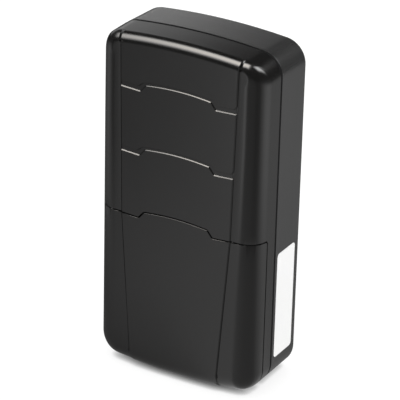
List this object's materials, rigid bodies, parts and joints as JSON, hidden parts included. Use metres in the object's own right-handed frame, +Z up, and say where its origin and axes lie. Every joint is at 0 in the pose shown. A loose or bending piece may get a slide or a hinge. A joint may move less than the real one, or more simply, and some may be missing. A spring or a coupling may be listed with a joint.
{
  "type": "gps tracker",
  "caption": "Upright magnetic tracker: black two-shell case with a slide-off battery cover, magnets let into the back and a full inner build.",
  "frame": {"origin": "centre of the bounding box's bottom, where the case stands", "axes": "+Z up the case, its longest side; -Y out of the front; +Y out of the magnetic back, along its shortest side"},
  "size_m": [0.056, 0.028, 0.112],
  "materials": {
    "shell_plastic": "satin black ABS",
    "seal_rubber": "matt silicone",
    "screw_steel": "nickel-plated steel",
    "insert_brass": "turned brass",
    "label_paper": "white film, bare",
    "cup_steel": "zinc-plated steel",
    "magnet_nickel": "nickel-plated neodymium",
    "clear_plastic": "clear polycarbonate",
    "tray_plastic": "black moulding",
    "cell_foil": "pouch foil",
    "sleeve_film": "blue shrink film",
    "cap_plastic": "black moulding",
    "contact_gold": "gold plating",
    "connector_plastic": "ivory nylon",
    "board_laminate": "green solder mask",
    "patch_ceramic": "fired ceramic",
    "patch_silver": "silver paste",
    "antenna_copper": "plated copper sheet",
    "can_tin": "tinned sheet",
    "chip_epoxy": "moulded epoxy",
    "coil_ferrite": "ferrite",
    "capacitor_can": "bare aluminium",
    "passive_body": "ceramic and tin",
    "card_plastic": "white card, bare",
    "switch_metal": "stamped steel",
    "knob_plastic": "white nylon",
    "button_plastic": "red ABS",
    "lamp_resin": "clear resin"
  },
  "bodies": {
    "case": {"front_shell": "shell_plastic", "back_shell": "shell_plastic", "case_gasket": "seal_rubber", "bay_gasket": "seal_rubber", "case_screws": "screw_steel", "board_screws": "screw_steel", "insert_nuts": "insert_brass", "side_label": "label_paper", "magnet_cups": "cup_steel", "magnets": "magnet_nickel", "light_window": "clear_plastic", "light_pipes": "clear_plastic", "battery_tray": "tray_plastic", "battery_cells": "cell_foil", "pack_sleeve": "sleeve_film", "pack_cap": "cap_plastic", "pack_pads": "contact_gold", "connector_fingers": "contact_gold", "battery_connector": "connector_plastic", "antenna_carrier": "connector_plastic", "main_board": "board_laminate", "modem_module": "board_laminate", "patch_antenna": "patch_ceramic", "patch_electrode": "patch_silver", "patch_pin": "patch_silver", "gsm_antenna": "antenna_copper", "modem_shield": "can_tin", "gnss_shield": "can_tin", "crystal": "can_tin", "sim_socket": "can_tin", "service_port": "can_tin", "controller_chip": "chip_epoxy", "memory_chip": "chip_epoxy", "motion_sensor": "chip_epoxy", "light_sensor": "chip_epoxy", "power_coil": "coil_ferrite", "buffer_capacitors": "capacitor_can", "board_passives": "passive_body", "sim_card": "card_plastic", "power_switch": "switch_metal", "reset_switch": "switch_metal", "status_leds": "lamp_resin"},
    "cover": {"battery_cover": "shell_plastic"},
    "switch": {"switch_knob": "knob_plastic"},
    "button": {"reset_button": "button_plastic"}
  },
  "joints": [
    {"name": "cover_slide", "type": "slide", "parent": "case", "child": "cover", "axis": [0, 0, -1], "range_m": [0, 0.055]},
    {"name": "switch_slide", "type": "slide", "parent": "case", "child": "switch", "axis": [1, 0, 0], "range_m": [0, 0.002]},
    {"name": "button_press", "type": "slide", "parent": "case", "child": "button", "axis": [0, 1, 0], "range_m": [0, 0.0003], "stiffness_N_per_m": 100}
  ]
}
